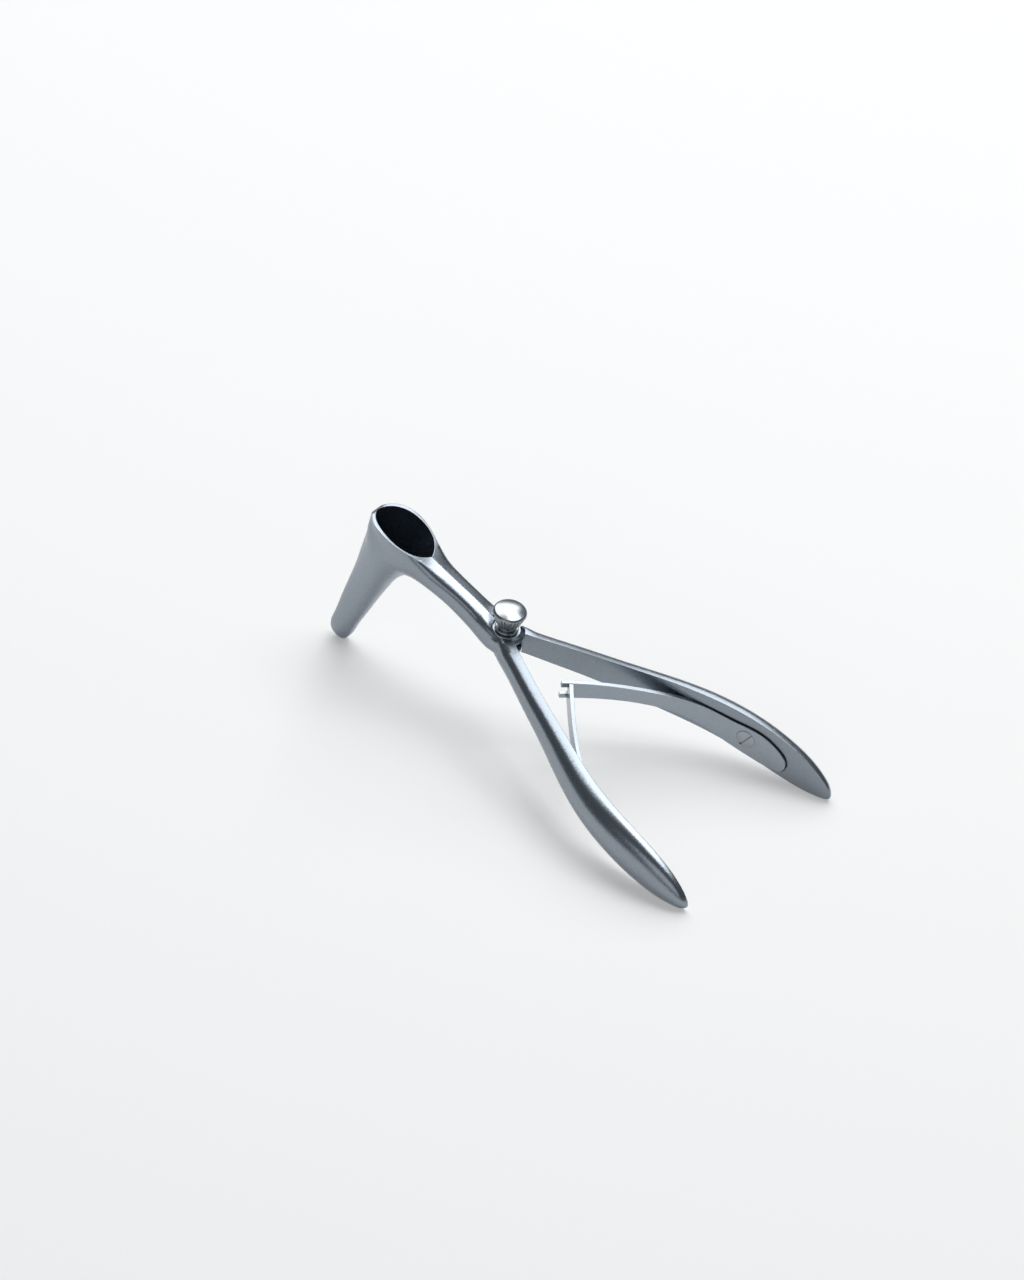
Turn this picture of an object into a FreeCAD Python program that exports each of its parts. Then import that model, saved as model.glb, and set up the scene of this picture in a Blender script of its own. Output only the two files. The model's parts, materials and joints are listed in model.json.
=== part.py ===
import FreeCAD, Part
import math
import os

# Nasal speculum with short blades, a clamping screw at the hinge and two interlocking leaf springs.
# Millimetres. The pivot axis is Z, the knob is up, the handles run towards +X and the blades hang at -X.
# The left half lies at negative Y and carries the fork of the hinge. The right half carries its tongue.

Vector = FreeCAD.Vector

# Reach of the cutting shapes, past every piece
BEYOND = 120.0

# Clearances
SEAM_GAP = 0.06
HINGE_GAP = 0.15
PIVOT_GAP = 0.05
SEAT_GAP = 0.04
RING_FIT = 0.02

# Hinge
HUB_RADIUS = 5.0
TONGUE_RADIUS = 3.9
TONGUE_BOTTOM = 1.4
TONGUE_TOP = 4.1
HUB_BOTTOM = -0.7
HUB_EDGE = 0.4
HUB_SHOULDER = 4.6
BOSS_TOP = 6.2
BOSS_RADIUS = 3.9
LOWER_SPOT_RADIUS = 3.2
STEM_RADIUS = 1.6

# Clamping screw: radii and heights from the washer up
WASHER_RADIUS = 3.3
WASHER_THICK = 0.85
NECK_RADIUS = 2.1
HEAD_BOTTOM = 8.9
HEAD_BOTTOM_RADIUS = 3.5
KNURL_TOP = 12.3
KNURL_RADIUS = 4.7
DOME_RADIUS = 4.1
DOME_EDGE = 13.2
DOME_TOP = 13.95
KNURL_GROOVES = 32
KNURL_DEPTH = 0.25
COLLAR_RADIUS = 2.6
COLLAR_HEIGHT = 0.4
SCREW_LIFT = 0.5
RING_RADIUS = 2.5
RING_THICK = 0.8
RING_DROP = SCREW_LIFT + 0.1
STEM_BEYOND_RING = 0.3
STEM_END_CHAMFER = 0.3
BROKEN_EDGE = 0.2

# Handle: the inner face seen from above, from the pivot to the tip, for the right half
HANDLE_PLAN = [(0.3, SEAM_GAP / 2), (20.0, 10.3), (37.0, 18.3), (50.0, 23.9), (62.0, 27.4), (76.0, 29.5), (92.0, 30.9)]
HANDLE_EXTRA = 1.2

# Leaf spring
LEAF_THICK = 1.1
RECESS_DEPTH = 0.5
RECESS_MARGIN = 0.3
RECESS_REACH = 4.0
LEAF_CROSSING = 23.4
LEAF_END_ANGLE = math.radians(49.0)
LEAF_LEAVES_AT = 52.0
LEAF_ROOT_BEND = 9.0
LEAF_END_BEND = 12.0
LEAF_SEAT_START = 42.0
LEAF_MID_Z = 0.4
SLOT_WIDTH = 2.4
TONGUE_WIDTH = 1.7
PRONG_LENGTH = 2.7
TONGUE_LENGTH = 3.0
LEAF_SHOULDER = 0.78

# Leaf seen from the side: along the top from the crossing to the root and back along the bottom
LEAF_SIDE = [(17.0, 3.2), (23.4, 3.1), (32.0, 1.9), (42.0, 0.1), (52.0, -1.3), (61.0, -2.3), (68.0, -2.5),
             (73.5, -4.3), (77.2, -8.0), (76.5, -10.7), (73.0, -12.0), (67.0, -11.8), (60.0, -10.5),
             (50.0, -7.3), (41.0, -4.5), (31.0, -2.8), (23.4, -2.3), (17.0, -2.2)]

LEAF_SIDE_STEPS = 48

# Leaf screw
LEAF_SCREW_X = 64.3
LEAF_SCREW_Z = -6.5
LEAF_SCREW_HEAD = 2.75
LEAF_SCREW_SHANK = 1.25
LEAF_SCREW_LENGTH = 3.6
LEAF_SCREW_EDGE = 0.1
LEAF_SCREW_CROWN = 0.45
LEAF_SCREW_SLOT = 0.55
LEAF_SCREW_SLOT_DEPTH = 0.8
LEAF_SCREW_TURN = 66.0


def station(back, front, outward, widths, rim=0.0, extra=1.0):
    """Closed outline of one cross section: a flat on the front, a curved side, a flat on the back."""
    round_heights = [1.0, 1.0, 0.84, 0.5, 0.16, 0.0, 0.0]
    rim_heights = [1.0, 0.84, 0.66, 0.43, 0.21, 0.05, 0.0]
    across = front - back
    poles = []
    for width, plain, flared in zip(widths, round_heights, rim_heights):
        height = plain + (flared - plain) * rim
        poles.append(back + across * height + outward * width)
    side = Part.BSplineCurve()
    side.buildFromPolesMultsKnots(poles, [4, 1, 1, 1, 4], [0, 1, 2, 3, 4], False, 3)
    front_inner = front - outward * extra
    back_inner = back - outward * extra
    return Part.Wire([
        Part.LineSegment(front_inner, poles[0]).toShape(),
        side.toShape(),
        Part.LineSegment(poles[-1], back_inner).toShape(),
        Part.LineSegment(back_inner, front_inner).toShape(),
    ])


def flat_station(back, front, widths, rim=0.0):
    """A cross section that stands square to the middle plane, for the blade, funnel and neck."""
    return station(Vector(back[0], 0, back[1]), Vector(front[0], 0, front[1]), Vector(0, -1, 0), widths, rim)


def plan_curve():
    """Inner face of the left handle seen from above."""
    curve = Part.BSplineCurve()
    curve.interpolate([Vector(x, -y, 0) for x, y in HANDLE_PLAN])
    return curve


def at_x(curve, x):
    """Point and unit direction of a plan curve at one distance along X."""
    low = curve.FirstParameter
    high = curve.LastParameter
    rising = curve.value(high).x > curve.value(low).x
    for _ in range(50):
        middle = (low + high) / 2
        if (curve.value(middle).x < x) == rising:
            low = middle
        else:
            high = middle
    return curve.value(low), curve.tangent(low)[0]


def handle_station(curve, x, bottom, top, widths):
    """A cross section that stands square to the handle."""
    point, direction = at_x(curve, x)
    outward = Vector(direction.y, -direction.x, 0)
    back = Vector(point.x, point.y, bottom)
    front = Vector(point.x, point.y, top)
    return station(back, front, outward, widths, 0.0, HANDLE_EXTRA)


def outer_body(curve):
    """One smooth forging from the blade tip over the funnel and neck to the end of the handle."""
    stations = [
        flat_station((-50.9, -33.85), (-51.5, -33.8), [0.1, 0.3, 0.4, 0.45, 0.4, 0.3, 0.1]),
        flat_station((-49.4, -33.2), (-53.1, -33.0), [0.3, 0.8, 1.05, 1.2, 1.05, 0.8, 0.3]),
        flat_station((-48.1, -31.3), (-54.4, -31.0), [0.4, 1.2, 1.6, 1.8, 1.6, 1.2, 0.4]),
        flat_station((-46.9, -27.6), (-54.1, -26.4), [0.4, 1.4, 2.0, 2.2, 1.9, 1.3, 0.4]),
        flat_station((-44.5, -20.6), (-52.8, -18.8), [0.4, 1.6, 2.4, 2.6, 2.2, 1.5, 0.4]),
        flat_station((-42.0, -13.4), (-51.3, -10.0), [0.4, 2.0, 3.0, 3.3, 2.8, 1.8, 0.5], 0.1),
        flat_station((-40.0, -8.2), (-50.0, -2.0), [0.4, 2.5, 3.9, 4.2, 3.5, 2.2, 0.6], 0.2),
        flat_station((-38.6, -4.6), (-49.2, 6.0), [0.5, 2.9, 4.9, 5.2, 4.3, 2.6, 0.7], 0.35),
        flat_station((-37.2, -1.8), (-48.7, 12.2), [0.7, 3.3, 5.7, 6.0, 4.9, 2.9, 0.8], 0.5),
        flat_station((-35.9, 0.3), (-48.1, 16.3), [1.7, 4.6, 6.2, 6.3, 5.1, 3.0, 1.0], 0.7),
        flat_station((-34.4, 2.0), (-45.4, 17.1), [4.9, 5.9, 6.4, 6.2, 5.0, 3.1, 1.1], 0.9),
        flat_station((-32.4, 3.3), (-41.3, 16.9), [6.8, 6.8, 6.5, 5.9, 4.9, 3.2, 1.2], 1.0),
        flat_station((-30.0, 4.2), (-36.8, 15.9), [7.0, 6.8, 6.3, 5.6, 4.8, 3.3, 1.3], 1.0),
        flat_station((-27.3, 4.7), (-31.8, 14.5), [5.7, 6.0, 5.9, 5.3, 4.6, 3.4, 1.4], 0.8),
        flat_station((-24.2, 4.7), (-26.9, 12.9), [3.7, 4.6, 5.1, 4.9, 4.4, 3.3, 1.5], 0.4),
        flat_station((-19.5, 4.1), (-20.8, 11.3), [2.3, 3.5, 4.3, 4.3, 4.1, 3.2, 1.6], 0.1),
        flat_station((-14.0, 2.7), (-14.2, 9.8), [1.9, 3.2, 4.0, 4.1, 4.0, 3.2, 1.7]),
        flat_station((-8.0, 0.9), (-8.0, 8.2), [2.0, 3.4, 4.2, 4.4, 4.3, 3.5, 2.0]),
        flat_station((-3.5, -0.3), (-3.5, 6.9), [2.3, 3.8, 4.7, 4.9, 4.8, 4.0, 2.4]),
        flat_station((0.3, -0.8), (0.3, 6.2), [2.3, 3.9, 4.9, 5.2, 5.1, 4.3, 2.6]),
        handle_station(curve, 4.4, -0.9, 5.9, [1.8, 3.1, 4.0, 4.3, 4.2, 3.5, 2.0]),
        handle_station(curve, 9.0, -1.6, 5.5, [1.5, 2.8, 3.8, 4.1, 3.9, 3.1, 1.7]),
        handle_station(curve, 18.0, -3.0, 4.8, [1.3, 2.7, 3.8, 4.1, 3.8, 2.9, 1.4]),
        handle_station(curve, 30.0, -5.1, 4.0, [1.1, 2.7, 4.0, 4.3, 4.0, 2.8, 1.1]),
        handle_station(curve, 42.0, -7.7, 3.2, [0.9, 2.8, 4.6, 5.1, 4.6, 2.8, 0.9]),
        handle_station(curve, 54.0, -9.9, 2.1, [0.8, 2.8, 5.0, 5.8, 5.0, 2.8, 0.8]),
        handle_station(curve, 66.0, -12.0, 0.9, [0.7, 2.6, 4.8, 5.7, 4.8, 2.6, 0.7]),
        handle_station(curve, 76.0, -13.3, -0.9, [0.6, 2.3, 4.2, 5.0, 4.2, 2.3, 0.6]),
        handle_station(curve, 83.5, -13.4, -3.3, [0.6, 1.9, 3.4, 4.2, 3.4, 1.9, 0.6]),
        handle_station(curve, 88.6, -12.7, -6.2, [0.5, 1.4, 2.4, 3.0, 2.4, 1.4, 0.5]),
        handle_station(curve, 91.1, -11.8, -8.6, [0.4, 0.9, 1.4, 1.7, 1.4, 0.9, 0.4]),
        handle_station(curve, 91.9, -11.0, -10.1, [0.2, 0.4, 0.5, 0.6, 0.5, 0.4, 0.2]),
    ]
    return Part.makeLoft(stations, True, False)


def hollow():
    """Inside of the funnel and of the blade channel, level by level from above the mouth to the tip."""
    levels = [
        ((-24.6, 17.4), (-46.9, 21.6), 6.9),
        ((-27.7, 13.1), (-47.45, 16.9), 6.15),
        ((-30.4, 9.5), (-47.85, 13.0), 5.6),
        ((-33.0, 5.8), (-48.25, 9.0), 4.9),
        ((-35.4, 2.4), (-48.65, 4.9), 4.2),
        ((-37.6, -0.9), (-49.05, 0.9), 3.5),
        ((-39.4, -4.4), (-49.55, -3.3), 2.9),
        ((-41.2, -8.9), (-50.2, -8.5), 2.35),
        ((-43.3, -14.2), (-51.1, -14.4), 1.85),
        ((-45.6, -20.8), (-52.0, -21.1), 1.4),
        ((-47.7, -27.0), (-52.8, -27.3), 0.95),
        ((-49.0, -29.7), (-52.7, -29.9), 0.5),
        ((-50.1, -31.0), (-52.1, -31.1), 0.15),
    ]
    lens_widths = [0.03, 0.52, 0.93, 1.06, 0.93, 0.52, 0.03]
    lens_heights = [1.0, 0.95, 0.77, 0.5, 0.25, 0.07, 0.0]
    outlines = []
    for back, front, half_width in levels:
        start = Vector(back[0], 0, back[1])
        across = Vector(front[0], 0, front[1]) - start
        poles = []
        for width, height in zip(lens_widths, lens_heights):
            poles.append(start + across * height + Vector(0, -width * half_width, 0))
        side = Part.BSplineCurve()
        side.buildFromPolesMultsKnots(poles, [4, 1, 1, 1, 4], [0, 1, 2, 3, 4], False, 3)
        inside = Vector(0, 1, 0)
        outlines.append(Part.Wire([
            Part.LineSegment(start + across + inside, poles[0]).toShape(),
            side.toShape(),
            Part.LineSegment(poles[-1], start + inside).toShape(),
            Part.LineSegment(start + inside, start + across + inside).toShape(),
        ]))
    return Part.makeLoft(outlines, True, False)


def prism(edges, bottom, height):
    """Upright solid over a closed plan outline."""
    face = Part.Face(Part.Wire(edges))
    face.translate(Vector(0, 0, bottom))
    return face.extrude(Vector(0, 0, height))


def chain(points):
    """Straight edges through a row of points."""
    return [Part.LineSegment(a, b).toShape() for a, b in zip(points, points[1:])]


def left_side(curve):
    """All the room on the left of the seam and of the handle's inner face."""
    start = curve.value(curve.FirstParameter)
    end = curve.value(curve.LastParameter)
    ahead = curve.tangent(curve.LastParameter)[0]
    corners = [end, end + ahead * BEYOND, Vector(BEYOND, -BEYOND, 0), Vector(-BEYOND, -BEYOND, 0),
               Vector(-BEYOND, start.y, 0), start]
    return prism([curve.toShape()] + chain(corners), -BEYOND, 2 * BEYOND)


def disc(radius, bottom, top):
    return Part.makeCylinder(radius, top - bottom, Vector(0, 0, bottom))


def revolved(edges):
    """Solid turned about Z from the edges of a half outline in the XZ plane."""
    face = Part.Face(Part.Wire(edges))
    return face.revolve(Vector(0, 0, 0), Vector(0, 0, 1), 360)


def dome_arc(radius, edge, top):
    """Half of a round cap's outline, from its edge to its top on the axis."""
    rise = top - edge
    ball = (radius * radius + rise * rise) / (2 * rise)
    turn = math.asin(radius / ball) / 2
    middle = Vector(ball * math.sin(turn), 0, top - ball + ball * math.cos(turn))
    return Part.Arc(Vector(radius, 0, edge), middle, Vector(0, 0, top)).toShape()


def blank(curve):
    """One half before its hinge is cut."""
    return outer_body(curve).common(left_side(curve)).cut(hollow())


def hub():
    """Round eye of the hinge with the raised seat of the washer."""
    lower = chain([Vector(0, 0, BOSS_TOP), Vector(0, 0, HUB_BOTTOM), Vector(HUB_RADIUS - HUB_EDGE, 0, HUB_BOTTOM),
                   Vector(HUB_RADIUS, 0, HUB_BOTTOM + HUB_EDGE), Vector(HUB_RADIUS, 0, HUB_SHOULDER)])
    step = HUB_RADIUS - BOSS_RADIUS
    rise = BOSS_TOP - HUB_SHOULDER
    sweep = Part.Arc(Vector(HUB_RADIUS, 0, HUB_SHOULDER),
                     Vector(BOSS_RADIUS + step * 0.35, 0, HUB_SHOULDER + rise * 0.4),
                     Vector(BOSS_RADIUS, 0, BOSS_TOP)).toShape()
    top = chain([Vector(BOSS_RADIUS, 0, BOSS_TOP), Vector(0, 0, BOSS_TOP)])
    return revolved(lower + [sweep] + top)


def leaf_centre(curve):
    """Middle line of the left leaf seen from above, from beyond its root to beyond the crossing."""
    points = []
    for x in (82.0, 76.0, 70.0, 64.0, 58.0, LEAF_LEAVES_AT):
        point, direction = at_x(curve, x)
        outward = Vector(direction.y, -direction.x, 0)
        points.append(point + outward * (RECESS_DEPTH - LEAF_THICK / 2))
    crossing = Vector(LEAF_CROSSING, 0, 0)
    direction = at_x(curve, LEAF_LEAVES_AT)[1]
    ahead = Vector(-math.cos(LEAF_END_ANGLE), math.sin(LEAF_END_ANGLE), 0)
    poles = [points[-1], points[-1] - direction * LEAF_ROOT_BEND, crossing - ahead * LEAF_END_BEND, crossing]
    free = Part.BezierCurve()
    free.setPoles(poles)
    for share in (0.2, 0.4, 0.6, 0.8, 1.0):
        points.append(free.value(share))
    points.append(crossing + ahead * (TONGUE_LENGTH + 1))
    centre = Part.BSplineCurve()
    centre.interpolate(points)
    return centre


def offset_points(centre, distance, first, last, count=28):
    """Points beside a plan curve, on its left for a positive distance."""
    points = []
    for i in range(count):
        at = first + (last - first) * i / (count - 1)
        direction = centre.tangent(at)[0]
        points.append(centre.value(at) + Vector(-direction.y, direction.x, 0) * distance)
    return points


def strip(centre, outer, inner, bottom, height, last=None):
    """Upright solid between two curves that run beside a plan curve."""
    first = centre.FirstParameter
    last = centre.LastParameter if last is None else last
    sides = []
    for distance in (outer, inner):
        side = Part.BSplineCurve()
        side.interpolate(offset_points(centre, distance, first, last))
        sides.append(side)
    starts = [side.value(side.FirstParameter) for side in sides]
    ends = [side.value(side.LastParameter) for side in sides]
    edges = [sides[0].toShape()] + chain([ends[0], ends[1]])
    edges += [sides[1].toShape()] + chain([starts[1], starts[0]])
    return prism(Part.__sortEdges__(edges), bottom, height)


def leaf_side(margin):
    """Leaf seen from the side, as a solid right through both handles."""
    outline = Part.BSplineCurve()
    outline.interpolate([Vector(x, 0, z) for x, z in LEAF_SIDE])
    if margin:
        points = []
        for i in range(LEAF_SIDE_STEPS + 1):
            at = outline.FirstParameter + (outline.LastParameter - outline.FirstParameter) * i / LEAF_SIDE_STEPS
            direction = outline.tangent(at)[0]
            points.append(outline.value(at) + Vector(-direction.z, 0, direction.x) * margin)
        outline = Part.BSplineCurve()
        outline.interpolate(points)
    start = outline.value(outline.FirstParameter)
    end = outline.value(outline.LastParameter)
    face = Part.Face(Part.Wire([outline.toShape()] + chain([end, start])))
    face.translate(Vector(0, -BEYOND, 0))
    return face.extrude(Vector(0, 2 * BEYOND, 0))


def end_block(near, bottom, top):
    """Block across the end of the left leaf, from a distance past the crossing onwards."""
    ahead = Vector(-math.cos(LEAF_END_ANGLE), math.sin(LEAF_END_ANGLE), 0)
    aside = Vector(ahead.y, -ahead.x, 0)
    crossing = Vector(LEAF_CROSSING, 0, 0)
    wide = 3 * LEAF_THICK
    far = near + 4 * TONGUE_LENGTH
    places = [(near, -wide), (far, -wide), (far, wide), (near, wide), (near, -wide)]
    return prism(chain([crossing + ahead * a + aside * b for a, b in places]), bottom, top - bottom)


def leaf_blank(centre):
    """Left leaf before its end and its screw hole are cut."""
    half = LEAF_THICK / 2
    return strip(centre, -half, half, -BEYOND, 2 * BEYOND).common(leaf_side(0))


def leaf_screw(extra):
    """Countersunk slotted screw standing on its shank, its head level with Z = 0."""
    head = LEAF_SCREW_HEAD + extra
    shank = LEAF_SCREW_SHANK + extra
    cone_bottom = -(LEAF_SCREW_HEAD - LEAF_SCREW_SHANK)
    bottom = -LEAF_SCREW_LENGTH - extra
    if extra:
        outline = chain([Vector(0, 0, bottom), Vector(shank, 0, bottom), Vector(shank, 0, cone_bottom),
                         Vector(head, 0, 0), Vector(head, 0, head), Vector(0, 0, head), Vector(0, 0, bottom)])
        return revolved(outline)
    outline = chain([Vector(0, 0, LEAF_SCREW_CROWN), Vector(0, 0, bottom), Vector(shank, 0, bottom),
                     Vector(shank, 0, cone_bottom), Vector(head, 0, 0), Vector(head, 0, LEAF_SCREW_EDGE)])
    screw = revolved(outline + [dome_arc(head, LEAF_SCREW_EDGE, LEAF_SCREW_CROWN)])
    slot_floor = LEAF_SCREW_CROWN - LEAF_SCREW_SLOT_DEPTH
    slot = Part.makeBox(4 * head, LEAF_SCREW_SLOT, head, Vector(-2 * head, -LEAF_SCREW_SLOT / 2, slot_floor))
    slot.rotate(Vector(0, 0, 0), Vector(0, 0, 1), 90 - LEAF_SCREW_TURN)
    return screw.cut(slot)


def on_leaf(centre, shape):
    """The screw moved to its place on the left leaf, its head towards the middle."""
    point, direction = at_x(centre, LEAF_SCREW_X)
    inward = Vector(direction.y, -direction.x, 0)
    if inward.y < 0:
        inward = inward * -1
    place = FreeCAD.Placement(point + inward * (LEAF_THICK / 2) + Vector(0, 0, LEAF_SCREW_Z),
                              FreeCAD.Rotation(Vector(0, 0, 1), inward))
    return shape.transformed(place.toMatrix(), copy=True)


def knurl_groove():
    """One V groove of the knurling, along the sloping side of the knob."""
    low = HEAD_BOTTOM + BROKEN_EDGE
    slope = (KNURL_RADIUS - HEAD_BOTTOM_RADIUS) / (KNURL_TOP - low)
    triangles = []
    for height in (low - 0.5, KNURL_TOP + 0.5):
        surface = HEAD_BOTTOM_RADIUS + slope * (height - low)
        half = math.pi * surface / KNURL_GROOVES
        triangles.append(Part.makePolygon([
            Vector(surface - KNURL_DEPTH, 0, height),
            Vector(surface + KNURL_DEPTH, half * 1.6, height),
            Vector(surface + KNURL_DEPTH, -half * 1.6, height),
            Vector(surface - KNURL_DEPTH, 0, height)]))
    return Part.makeLoft(triangles, True, True)


def clamp_screw():
    """Knurled head, collar and long stem, turned in one piece."""
    collar = BOSS_TOP + SEAT_GAP + WASHER_THICK + SEAT_GAP
    bottom = HUB_BOTTOM - RING_DROP - RING_THICK - STEM_BEYOND_RING
    chamfer = STEM_END_CHAMFER
    shoulder = COLLAR_RADIUS - NECK_RADIUS
    outline = chain([Vector(0, 0, DOME_TOP), Vector(0, 0, bottom),
                     Vector(STEM_RADIUS - chamfer, 0, bottom), Vector(STEM_RADIUS, 0, bottom + chamfer),
                     Vector(STEM_RADIUS, 0, collar), Vector(COLLAR_RADIUS, 0, collar),
                     Vector(COLLAR_RADIUS, 0, collar + COLLAR_HEIGHT),
                     Vector(NECK_RADIUS, 0, collar + COLLAR_HEIGHT + shoulder * 0.8),
                     Vector(NECK_RADIUS, 0, HEAD_BOTTOM), Vector(HEAD_BOTTOM_RADIUS - BROKEN_EDGE, 0, HEAD_BOTTOM),
                     Vector(HEAD_BOTTOM_RADIUS, 0, HEAD_BOTTOM + BROKEN_EDGE), Vector(KNURL_RADIUS, 0, KNURL_TOP)])
    rim = Part.Arc(Vector(KNURL_RADIUS, 0, KNURL_TOP),
                   Vector(KNURL_RADIUS - BROKEN_EDGE / 2, 0, (KNURL_TOP + DOME_EDGE) / 2),
                   Vector(DOME_RADIUS, 0, DOME_EDGE)).toShape()
    screw = revolved(outline + [rim, dome_arc(DOME_RADIUS, DOME_EDGE, DOME_TOP)])
    grooves = []
    for i in range(KNURL_GROOVES):
        groove = knurl_groove()
        groove.rotate(Vector(0, 0, 0), Vector(0, 0, 1), 360.0 * i / KNURL_GROOVES)
        grooves.append(groove)
    return screw.cut(Part.makeCompound(grooves))


def ring(inner, outer, bottom, thick, edge):
    """Flat ring about the pivot with its outer edges broken."""
    outline = [Vector(inner, 0, bottom), Vector(outer - edge, 0, bottom), Vector(outer, 0, bottom + edge),
               Vector(outer, 0, bottom + thick - edge), Vector(outer - edge, 0, bottom + thick),
               Vector(inner, 0, bottom + thick), Vector(inner, 0, bottom)]
    return revolved(chain(outline))


def mirrored(shape):
    return shape.mirror(Vector(0, 0, 0), Vector(0, 1, 0))


def build():
    """All the pieces in the design frame."""
    curve = plan_curve()
    centre = leaf_centre(curve)
    half = LEAF_THICK / 2
    seat_end = centre.parameter(at_x(centre, LEAF_SEAT_START)[0])
    seat = strip(centre, half + SEAT_GAP, -RECESS_REACH, -BEYOND, 2 * BEYOND, seat_end)
    seat = seat.common(leaf_side(RECESS_MARGIN))
    screw_room = on_leaf(centre, leaf_screw(PIVOT_GAP))
    body = blank(curve).cut(seat).cut(screw_room)

    bore = disc(STEM_RADIUS + PIVOT_GAP, -BEYOND, BEYOND)
    spot = disc(BOSS_RADIUS, BOSS_TOP, BEYOND).fuse(disc(LOWER_SPOT_RADIUS, -BEYOND, HUB_BOTTOM))
    between = disc(HUB_RADIUS + HINGE_GAP, TONGUE_BOTTOM - HINGE_GAP, TONGUE_TOP + HINGE_GAP)
    pocket = disc(TONGUE_RADIUS + HINGE_GAP, TONGUE_BOTTOM - HINGE_GAP, TONGUE_TOP + HINGE_GAP)
    ears = hub().cut(between)
    left = body.fuse(ears).cut(spot).cut(pocket).cut(bore).removeSplitter()

    above = disc(HUB_RADIUS + HINGE_GAP, TONGUE_TOP, BEYOND)
    room = above.fuse(disc(HUB_RADIUS + HINGE_GAP, -BEYOND, TONGUE_BOTTOM))
    tongue = disc(TONGUE_RADIUS, TONGUE_BOTTOM, TONGUE_TOP)
    right = mirrored(body).cut(room).fuse(tongue).cut(bore).removeSplitter()

    leaf = leaf_blank(centre).cut(screw_room)
    tongue_top = LEAF_MID_Z + TONGUE_WIDTH / 2
    tongue_bottom = LEAF_MID_Z - TONGUE_WIDTH / 2
    left_leaf = leaf.cut(end_block(TONGUE_LENGTH, -BEYOND, BEYOND))
    left_leaf = left_leaf.cut(end_block(-LEAF_SHOULDER, tongue_top, BEYOND))
    left_leaf = left_leaf.cut(end_block(-LEAF_SHOULDER, -BEYOND, tongue_bottom))
    slot_top = LEAF_MID_Z + SLOT_WIDTH / 2
    slot_bottom = LEAF_MID_Z - SLOT_WIDTH / 2
    fork_leaf = leaf.cut(end_block(PRONG_LENGTH, -BEYOND, BEYOND))
    fork_leaf = fork_leaf.cut(end_block(-LEAF_SHOULDER, slot_bottom, slot_top))

    screw = on_leaf(centre, leaf_screw(0))
    return {
        "left_half": left,
        "right_half": right,
        "left_spring": left_leaf,
        "right_spring": mirrored(fork_leaf),
        "left_spring_screw": screw,
        "right_spring_screw": mirrored(screw),
        "clamp_screw": clamp_screw(),
        "clamp_washer": ring(STEM_RADIUS + PIVOT_GAP, WASHER_RADIUS, BOSS_TOP + SEAT_GAP, WASHER_THICK, BROKEN_EDGE),
        "screw_end_ring": ring(STEM_RADIUS + RING_FIT, RING_RADIUS, HUB_BOTTOM - RING_DROP - RING_THICK,
                               RING_THICK, BROKEN_EDGE),
    }


def stance(pieces):
    """Placement that stands the blade tips and the handles on Z = 0, centred on the origin."""
    points = []
    for name in ("left_half", "right_half"):
        points += pieces[name].tessellate(0.05)[0]
    fore = [p for p in points if p.x < 0]
    rear = [p for p in points if p.x > 0]
    low = 0.0
    high = math.radians(20)
    for _ in range(40):
        tilt = (low + high) / 2
        blade = min(p.z * math.cos(tilt) - p.x * math.sin(tilt) for p in fore)
        grip = min(p.z * math.cos(tilt) - p.x * math.sin(tilt) for p in rear)
        if grip > blade:
            low = tilt
        else:
            high = tilt
    turn = FreeCAD.Placement(Vector(0, 0, 0), FreeCAD.Rotation(Vector(0, 1, 0), math.degrees(low)))
    box = FreeCAD.BoundBox()
    for shape in pieces.values():
        box.add(shape.transformed(turn.toMatrix(), copy=True).optimalBoundingBox(False))
    shift = Vector(-(box.XMin + box.XMax) / 2, -(box.YMin + box.YMax) / 2, -box.ZMin)
    return FreeCAD.Placement(shift, turn.Rotation)


def main():
    pieces = build()
    place = stance(pieces)
    os.makedirs("parts", exist_ok=True)
    for name, shape in pieces.items():
        placed = shape.transformed(place.toMatrix(), copy=True)
        solids = placed.Solids
        print(name, len(solids), placed.isValid(), round(placed.Volume, 1))
        solids[0].exportStep("parts/" + name + ".step")


if __name__ == "__main__":
    main()
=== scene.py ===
# %% [markdown]
# A short nasal speculum of satin steel, lying on a white table. The construction comes from the frame:
# two forged halves, two leaf springs with their screws, and the clamping screw with its washer and
# ring. This lesson dresses them: it lights the metal so that its bands show, gives every surface its
# finish, and makes five pieces anew, because the real ones are ground, bent or turned.

# %% Frame
import bpy
import json
import math
import numpy as np
from mathutils import Matrix, Vector


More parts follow.
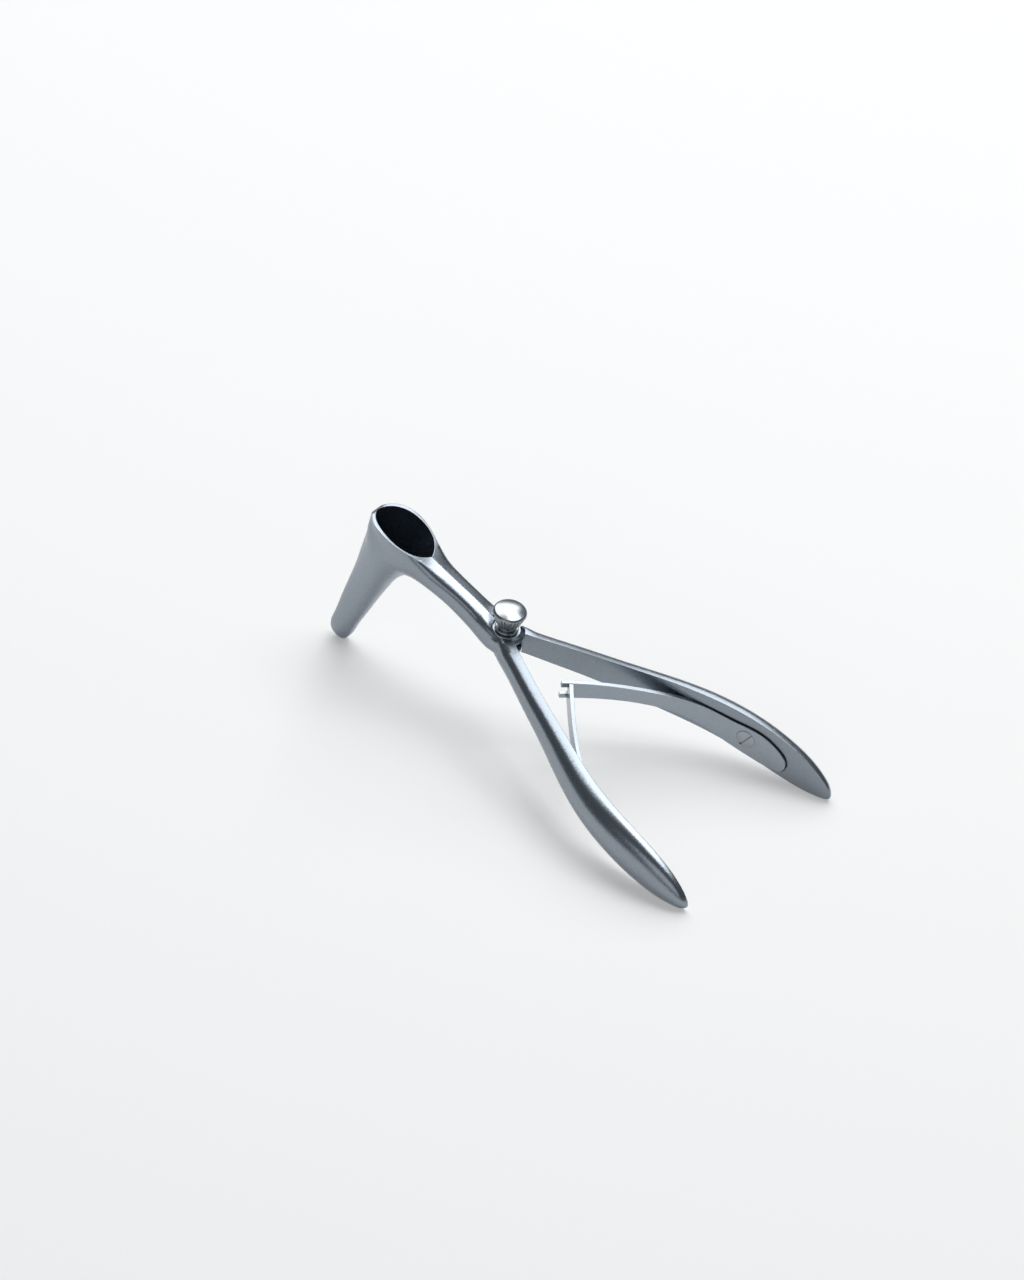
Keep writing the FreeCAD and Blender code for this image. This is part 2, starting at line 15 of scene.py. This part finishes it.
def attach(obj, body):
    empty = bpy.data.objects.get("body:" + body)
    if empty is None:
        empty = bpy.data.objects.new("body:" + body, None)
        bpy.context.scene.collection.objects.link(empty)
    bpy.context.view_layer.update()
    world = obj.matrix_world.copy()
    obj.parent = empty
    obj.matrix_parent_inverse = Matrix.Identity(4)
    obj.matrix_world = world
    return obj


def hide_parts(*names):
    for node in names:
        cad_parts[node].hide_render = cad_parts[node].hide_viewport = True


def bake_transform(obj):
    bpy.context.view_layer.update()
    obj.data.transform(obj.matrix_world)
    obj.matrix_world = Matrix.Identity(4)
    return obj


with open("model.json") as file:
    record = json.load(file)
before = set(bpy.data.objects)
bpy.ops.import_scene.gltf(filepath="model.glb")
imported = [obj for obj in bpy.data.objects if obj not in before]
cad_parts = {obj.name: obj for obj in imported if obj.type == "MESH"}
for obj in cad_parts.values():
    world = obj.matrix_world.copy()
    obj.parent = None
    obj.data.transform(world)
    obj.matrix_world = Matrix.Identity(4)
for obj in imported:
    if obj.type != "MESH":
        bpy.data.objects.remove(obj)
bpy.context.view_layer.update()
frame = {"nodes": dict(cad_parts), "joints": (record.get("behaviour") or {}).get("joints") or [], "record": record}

# %% [markdown]
# The picture was taken from above and to the right of the blades, from far away, so that sizes hardly
# shrink with distance. A long lens gives that view. Azimuth, elevation and roll turn the camera, and
# one pixel of the picture is 0.27 mm at the object.

# %% Camera
PICTURE_HEIGHT = 1280
PIXEL = 0.00027
AZIMUTH = math.radians(37.1)
ELEVATION = math.radians(38.2)
ROLL = math.radians(2.6)
LENS = 600.0
SENSOR = 36.0
VIEW_CENTRE = Vector((-0.0141, 0.0021, 0.0270))

towards = Vector((math.sin(AZIMUTH) * math.cos(ELEVATION), -math.cos(AZIMUTH) * math.cos(ELEVATION),
                  math.sin(ELEVATION)))
level_right = Vector((math.cos(AZIMUTH), math.sin(AZIMUTH), 0))
level_up = towards.cross(level_right)
right = level_right * math.cos(ROLL) + level_up * math.sin(ROLL)
up = towards.cross(right)
distance = PICTURE_HEIGHT * PIXEL * LENS / SENSOR
camera_data = bpy.data.cameras.new("camera")
camera_data.lens = LENS
camera_data.sensor_width = SENSOR
camera = bpy.data.objects.new("camera", camera_data)
bpy.context.scene.collection.objects.link(camera)
camera.matrix_world = Matrix.Translation(VIEW_CENTRE + towards * distance) @ Matrix(
    (right, up, towards)).transposed().to_4x4()
bpy.context.scene.camera = camera
print("camera stands", round(distance, 2), "m away")

# %% [markdown]
# The instrument lies on a plain white table. The table is a wide disc, so its edge never shows, and it
# has no gloss, so that nothing but the steel draws the eye. To the camera, and in the steel, it glows a
# little: that lifts it to white and leaves the shadow of the instrument on it.

# %% Table
TABLE_RADIUS = 6.0
TABLE_CORNERS = 64
TABLE_WHITE = 0.62
TABLE_ROUGHNESS = 0.9
TABLE_GLOW = 0.3

bpy.ops.mesh.primitive_circle_add(vertices=TABLE_CORNERS, radius=TABLE_RADIUS, fill_type="NGON",
                                  location=(0, 0, 0))
table = bpy.context.object
table.name = "table"
white = bpy.data.materials.new("white_table")
white.use_nodes = True
white_tree = white.node_tree
paint = white_tree.nodes["Principled BSDF"]
paint.inputs["Base Color"].default_value = (TABLE_WHITE, TABLE_WHITE, TABLE_WHITE, 1)
paint.inputs["Roughness"].default_value = TABLE_ROUGHNESS
paint.inputs["Specular IOR Level"].default_value = 0.0
glow = white_tree.nodes.new("ShaderNodeEmission")
ray = white_tree.nodes.new("ShaderNodeLightPath")
seen = white_tree.nodes.new("ShaderNodeMath")
seen.operation = "MAXIMUM"
strength = white_tree.nodes.new("ShaderNodeMath")
strength.operation = "MULTIPLY"
strength.inputs[1].default_value = TABLE_GLOW
both = white_tree.nodes.new("ShaderNodeAddShader")
white_tree.links.new(ray.outputs["Is Camera Ray"], seen.inputs[0])
white_tree.links.new(ray.outputs["Is Glossy Ray"], seen.inputs[1])
white_tree.links.new(seen.outputs["Value"], strength.inputs[0])
white_tree.links.new(strength.outputs["Value"], glow.inputs["Strength"])
white_tree.links.new(paint.outputs["BSDF"], both.inputs[0])
white_tree.links.new(glow.outputs["Emission"], both.inputs[1])
white_tree.links.new(both.outputs["Shader"], white_tree.nodes["Material Output"].inputs["Surface"])
table.data.materials.append(white)
print("table is", 2 * TABLE_RADIUS, "m across")

# %% [markdown]
# Metal shows what stands round it, so the light is the first half of its finish. A soft box behind the
# table draws the bright bands along the handles, and a small one overhead the band on the neck. The
# room beside them is dim, and that gives the dark bands next to the bright ones. The white table fills
# the sides from below, and a weak box in front keeps the blades from going black in other views.


# %% Light
def soft_box(name, place, width, height, radiance):
    """One rectangular lamp that looks at the middle of the table and is equally bright all over."""
    data = bpy.data.lights.new(name, "AREA")
    data.shape = "RECTANGLE"
    data.size = width
    data.size_y = height
    data.energy = math.pi * width * height * radiance
    lamp = bpy.data.objects.new(name, data)
    bpy.context.scene.collection.objects.link(lamp)
    lamp.location = place
    lamp.rotation_euler = (-Vector(place)).to_track_quat("-Z", "Y").to_euler()
    print(name, "gives", round(data.energy, 1), "W")


ROOM_COLOUR = (0.85, 0.93, 1.0, 1)
ROOM_STRENGTH = 0.15

world = bpy.data.worlds.new("room")
bpy.context.scene.world = world
world.use_nodes = True
room_light = world.node_tree.nodes["Background"]
room_light.inputs["Color"].default_value = ROOM_COLOUR
room_light.inputs["Strength"].default_value = ROOM_STRENGTH
soft_box("back_box", (-0.68, 0.81, 1.40), width=1.7, height=1.5, radiance=3.1)
soft_box("top_box", (0.33, 0.45, 1.39), width=0.8, height=0.8, radiance=4.0)
soft_box("front_box", (0.5, -1.5, 0.75), width=1.6, height=0.9, radiance=0.8)
bpy.context.scene.view_settings.view_transform = "Standard"

# %% [markdown]
# Surgical steel is glass-bead blasted or brushed to a satin, so that it doesn't dazzle. Its colour is a
# cool grey, and the grain shows as a fine roughness that breaks up every highlight. One noise drives
# the roughness, the tint and a very shallow bump, all on the object's own coordinates. Every sharp edge
# of a forging is broken with a fine stone, and the rounded edge catches the light as a thin line. A
# bevel that is cut into such small faces folds over itself, so the bevel node rounds the edges in the
# material, by a radius of its own for each steel.

# %% Steel
GRAIN_SIZE = 0.0003
GRAIN_DETAIL = 3
GRAIN_ROUGHNESS = 0.03
GRAIN_TINT = 0.04
GRAIN_DEPTH = 0.1 * GRAIN_SIZE
EDGE_SAMPLES = 6


def steel(name, colour, roughness, bump, edge):
    """Bare metal with a fine, even grain and broken edges."""
    material = bpy.data.materials.new(name)
    material.use_nodes = True
    tree = material.node_tree
    shader = tree.nodes["Principled BSDF"]
    shader.inputs["Metallic"].default_value = 1
    place = tree.nodes.new("ShaderNodeTexCoord")
    noise = tree.nodes.new("ShaderNodeTexNoise")
    noise.inputs["Scale"].default_value = 1 / GRAIN_SIZE
    noise.inputs["Detail"].default_value = GRAIN_DETAIL
    tree.links.new(place.outputs["Object"], noise.inputs["Vector"])
    rough = tree.nodes.new("ShaderNodeMapRange")
    rough.inputs["To Min"].default_value = roughness - GRAIN_ROUGHNESS
    rough.inputs["To Max"].default_value = roughness + GRAIN_ROUGHNESS
    tree.links.new(noise.outputs["Fac"], rough.inputs["Value"])
    tree.links.new(rough.outputs["Result"], shader.inputs["Roughness"])
    tint = tree.nodes.new("ShaderNodeMix")
    tint.data_type = "RGBA"
    tint.inputs["A"].default_value = (*[c * (1 - GRAIN_TINT) for c in colour], 1)
    tint.inputs["B"].default_value = (*[c * (1 + GRAIN_TINT) for c in colour], 1)
    tree.links.new(noise.outputs["Fac"], tint.inputs["Factor"])
    tree.links.new(tint.outputs["Result"], shader.inputs["Base Color"])
    rounded = tree.nodes.new("ShaderNodeBevel")
    rounded.samples = EDGE_SAMPLES
    rounded.inputs["Radius"].default_value = edge
    relief = tree.nodes.new("ShaderNodeBump")
    relief.inputs["Strength"].default_value = bump
    relief.inputs["Distance"].default_value = GRAIN_DEPTH
    tree.links.new(rounded.outputs["Normal"], relief.inputs["Normal"])
    tree.links.new(noise.outputs["Fac"], relief.inputs["Height"])
    tree.links.new(relief.outputs["Normal"], shader.inputs["Normal"])
    return material


finishes = {
    "satin_steel": steel("satin_steel", (0.27, 0.305, 0.345), roughness=0.28, bump=0.08, edge=0.00025),
    "polished_steel": steel("polished_steel", (0.34, 0.365, 0.39), roughness=0.26, bump=0.05, edge=0.0001),
    "spring_steel": steel("spring_steel", (0.33, 0.37, 0.415), roughness=0.28, bump=0.08, edge=0.00012),
}
for subpart in frame["record"]["subparts"]:
    node = frame["nodes"][subpart["node"]]
    node.data.materials.clear()
    node.data.materials.append(finishes[subpart["material_slot"]])
    print(subpart["node"], "gets", subpart["material_slot"])

# %% [markdown]
# The instrument lies tilted on the table, on its blade tips and its handles. Grinding, bending and
# turning need places that are square to it, so they count from the hinge: along it towards the handles'
# ends, across it, and up along the pin, where the hinge's own point has a height of 2.75. Such places
# are in millimetres, and the mesh is in metres.

# %% Places on the instrument
MM_PER_M = 1000
PIVOT_HEIGHT = 2.75
hinge = next(joint for joint in frame["joints"] if joint["name"] == "blade_hinge")
pivot = Vector(hinge["pos_m"])
pivot_up = -Vector(hinge["axis"])
to_handles = Vector((pivot_up.z, 0, -pivot_up.x))


def read_points(piece):
    """The vertices of a piece as rows of x, y and z."""
    points = np.empty(len(piece.data.vertices) * 3)
    piece.data.vertices.foreach_get("co", points)
    return points.reshape(-1, 3)


def write_points(piece, points):
    """Put the vertices of a piece where the rows say."""
    piece.data.vertices.foreach_set("co", points.ravel())
    piece.data.update()


def places(points):
    """How far along, across and up the instrument points lie."""
    offsets = (points - np.array(pivot)) * MM_PER_M
    return offsets @ np.array(to_handles), offsets[:, 1], offsets @ np.array(pivot_up) + PIVOT_HEIGHT


print("hinge pin leans", round(math.degrees(pivot_up.angle(Vector((0, 0, 1)))), 1), "degrees")

# %% [markdown]
# The two halves are forged in a die and then ground by hand on a belt, so their surface has to be eased
# here and there. The construction itself stays as it is: each half starts as a copy of it. A mesh from
# construction is loose triangles, so the copy's vertices are merged first, or it would tear when it is
# moved and every triangle would show.

# %% Copies of the halves
MERGE_DISTANCE = 0.000001
FORGINGS = {"left_forging": "left_half", "right_forging": "right_half"}


def take_up(piece):
    """Make a piece the only one that operators act on."""
    bpy.ops.object.select_all(action="DESELECT")
    bpy.context.view_layer.objects.active = piece
    piece.select_set(True)


def merged_copy(name, node_name):
    """A piece on the shape of one node, with its vertices merged."""
    piece = bpy.data.objects.new(name, frame["nodes"][node_name].data.copy())
    bpy.context.scene.collection.objects.link(piece)
    take_up(piece)
    bpy.ops.object.mode_set(mode="EDIT")
    bpy.ops.mesh.select_all(action="SELECT")
    bpy.ops.mesh.customdata_custom_splitnormals_clear()
    bpy.ops.mesh.remove_doubles(threshold=MERGE_DISTANCE)
    bpy.ops.object.mode_set(mode="OBJECT")
    return piece


forgings = {name: merged_copy(name, node_name) for name, node_name in FORGINGS.items()}
for name, forging in forgings.items():
    print(name, "has", len(forging.data.vertices), "vertices")

# %% [markdown]
# A grinder's slope starts and ends softly, and a triangle that spans half of the handle can't follow
# that. So the long edges are halved, in a few passes with a limit that gets finer. The limit keeps the
# small faces of the funnel and the hinge as they are.

# %% Finer faces
EDGE_LIMITS = (0.008, 0.004, 0.002, 0.0013, 0.0013)


def split_long_edges(piece, limit):
    """Halve the edges that are longer than the limit, once."""
    ends = np.empty(len(piece.data.edges) * 2, dtype=np.int32)
    piece.data.edges.foreach_get("vertices", ends)
    points = read_points(piece)
    long_ones = np.linalg.norm(points[ends[::2]] - points[ends[1::2]], axis=1) > limit
    bpy.ops.object.mode_set(mode="EDIT")
    bpy.ops.mesh.select_mode(type="EDGE")
    bpy.ops.mesh.select_all(action="DESELECT")
    bpy.ops.object.mode_set(mode="OBJECT")
    piece.data.edges.foreach_set("select", long_ones)
    bpy.ops.object.mode_set(mode="EDIT")
    bpy.ops.mesh.subdivide(number_cuts=1)
    bpy.ops.mesh.select_all(action="SELECT")
    bpy.ops.mesh.quads_convert_to_tris()
    bpy.ops.object.mode_set(mode="OBJECT")


for name, forging in forgings.items():
    take_up(forging)
    for limit in EDGE_LIMITS:
        split_long_edges(forging, limit)
    print(name, "has", len(forging.data.polygons), "faces")

# %% [markdown]
# The grinder takes off the outer shoulder of neck and handle, so that their tops fall away from the
# seam: that is why one half shows a bright top and the other a dark one. The tops are eased down by the
# grinder's slope, most at the top and nothing at mid height. Rows of places along the instrument say
# how much of the slope is ground there, how far out the inner face stands, how high the section's
# middle lies and how far above it the top. The funnel and the washer's seat on the hinge stay as they
# are.

# %% Ground tops
GRIND_SLOPE = math.tan(math.radians(10))
GRIND_SHARE = [(-30.0, 0.0), (-22.5, 1.0), (24.0, 1.0), (50.0, 0.3), (92.0, 0.2)]
SEAT_RADIUS = 5.0
SEAT_RUNOUT = 4.0
INNER_FACE = [(0.3, 0.0), (20.0, 10.3), (37.0, 18.3), (50.0, 23.9), (62.0, 27.4), (76.0, 29.5),
              (92.0, 30.9)]
INNER_FACE_DEGREE = 5
MID_HEIGHT = [(-30.0, 8.0), (-20.0, 7.5), (-8.0, 4.6), (0.3, 2.7), (18.0, 0.9), (42.0, -2.3),
              (66.0, -5.6), (92.0, -10.5)]
HALF_HEIGHT = [(-30.0, 4.2), (-20.0, 3.7), (-8.0, 3.6), (0.3, 3.5), (18.0, 3.9), (42.0, 5.4),
               (66.0, 6.4), (83.5, 5.0), (88.6, 3.2), (91.9, 0.5)]
inner_along, inner_out = zip(*INNER_FACE)
inner_face = np.polyfit(inner_along, inner_out, INNER_FACE_DEGREE)


def soft_step(t):
    """A step from 0 to 1 that starts and ends softly."""
    t = np.clip(t, 0, 1)
    return t * t * (3 - 2 * t)


def along_row(along, row):
    """The value that a row of places gives at each place along the instrument."""
    return np.interp(along, [place for place, _ in row], [value for _, value in row])


def grind_top(piece):
    """Ease the top of neck and handle down, further out from the inner face, and say how far at most."""
    points = read_points(piece)
    along, across, height = places(points)
    out = np.abs(across)
    inner = np.where(along > 0, np.polyval(inner_face, along), 0)
    raised = soft_step((height - along_row(along, MID_HEIGHT)) / along_row(along, HALF_HEIGHT))
    off_seat = soft_step((np.hypot(along, out) - SEAT_RADIUS) / SEAT_RUNOUT)
    share = soft_step(along_row(along, GRIND_SHARE))
    drop = GRIND_SLOPE * np.maximum(out - inner, 0) * raised * share * off_seat
    write_points(piece, points - drop[:, None] * np.array(pivot_up) / MM_PER_M)
    return drop.max()


for name, forging in forgings.items():
    print(name, "ground down by", round(grind_top(forging), 2), "mm at most")

# %% [markdown]
# The hinge's eye is round and wider than the lower side of its half, and on a new forging its edge
# would stand out there. The maker grinds it flush: below the middle of the eye, its side runs in a
# quarter of an ellipse from the eye's full radius down to the foot of the half.

# %% Ground hinge eye
EYE_RADIUS = 5.0
EYE_MARGIN = 0.05
EYE_FOOT = 2.6
EYE_BOTTOM = -0.8
EYE_MIDDLE = 1.8


def blend_eye(piece):
    """Grind the lower edge of the hinge's eye flush with the side of its half, and say how far at most."""
    points = read_points(piece)
    along, across, height = places(points)
    share = np.clip((height - EYE_BOTTOM) / (EYE_MIDDLE - EYE_BOTTOM), 0, 1)
    side = EYE_FOOT + (EYE_RADIUS - EYE_FOOT) * np.sqrt(1 - (1 - share) ** 2)
    on_eye = (np.hypot(along, across) < EYE_RADIUS + EYE_MARGIN) & (height < EYE_MIDDLE)
    over = np.maximum(np.abs(across) - side, 0) * on_eye
    points[:, 1] -= np.sign(across) * over / MM_PER_M
    write_points(piece, points)
    return over.max()


for name, forging in forgings.items():
    print(name, "ground in at the eye by", round(blend_eye(forging), 2), "mm at most")

# %% [markdown]
# A ground surface is smooth, and yet it has real edges at the rim, the seam and the recesses. Smoothing
# by angle keeps both: it leaves an edge only where two faces meet at more than the angle. Then each
# forging stands for its half, and moves with it.

# %% Forged halves
SMOOTH_ANGLE = math.radians(32)
for name, forging in forgings.items():
    node_name = FORGINGS[name]
    take_up(forging)
    bpy.ops.object.shade_smooth_by_angle(angle=SMOOTH_ANGLE)
    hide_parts(node_name)
    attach(forging, node_name)
    print(name, "stands for", node_name)

# %% [markdown]
# The two leaf springs are the only pieces that change their shape when the handles move. Each is rolled
# from one strip, sits in a recess of its own half and crosses the other leaf in the middle between the
# handles. When the handles close, its root stays on its half and its tip goes half of the way with the
# other one. Here each leaf becomes a piece of its own, and two places on it are found: where the leaf
# leaves its handle, and where it crosses the other leaf. Both of these places are in metres from the
# hinge.

# %% Leaf springs
LEAF_LEAVES = 0.052
LEAF_CROSSES = 0.0234
LEAF_BAND = 0.001


def leaf_spring(name, node_name):
    """A piece of one leaf spring, on the shape of its node, and how far before the crossing it leaves its half."""
    piece = merged_copy(name, node_name)
    bpy.ops.object.shade_smooth_by_angle(angle=SMOOTH_ANGLE)
    near = [v.co for v in piece.data.vertices
            if abs((v.co - pivot).dot(to_handles) - LEAF_LEAVES) < LEAF_BAND]
    leaves = sum(near, Vector()) / len(near)
    crosses = pivot + to_handles * LEAF_CROSSES
    leaves -= pivot_up * (leaves - crosses).dot(pivot_up)
    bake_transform(piece)
    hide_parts(node_name)
    reach = round((leaves - crosses).length * MM_PER_M, 1)
    print(name, "leaves its half", reach, "mm before the crossing,", len(piece.data.polygons), "faces")


leaf_spring("left_leaf_spring", "left_spring")
leaf_spring("right_leaf_spring", "right_spring")

# %% [markdown]
# A screw stops where it is tight, so its slot points anywhere. The one that shows was turned further
# than its mirror image. It turns about its own axis, which stands square to the leaf, and the leaf
# follows the inner face of the handle: so the slope of that face, where the screw sits, gives the axis.

# %% Leaf screw
SCREW_ALONG = 64.3
SCREW_TURN = math.radians(86)
turned_screw = merged_copy("right_leaf_screw", "right_spring_screw")
face_slope = float(np.polyval(np.polyder(inner_face), SCREW_ALONG))
screw_axis = (Vector((0, 1, 0)) - to_handles * face_slope).normalized()
middle = sum((v.co for v in turned_screw.data.vertices), Vector()) / len(turned_screw.data.vertices)
to_middle = Matrix.Translation(middle)
turned_screw.data.transform(to_middle @ Matrix.Rotation(SCREW_TURN, 4, screw_axis) @ to_middle.inverted())
bpy.ops.object.shade_smooth_by_angle(angle=SMOOTH_ANGLE)
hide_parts("right_spring_screw")
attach(turned_screw, "right_half")
print("screw turned by", round(math.degrees(SCREW_TURN)), "degrees")
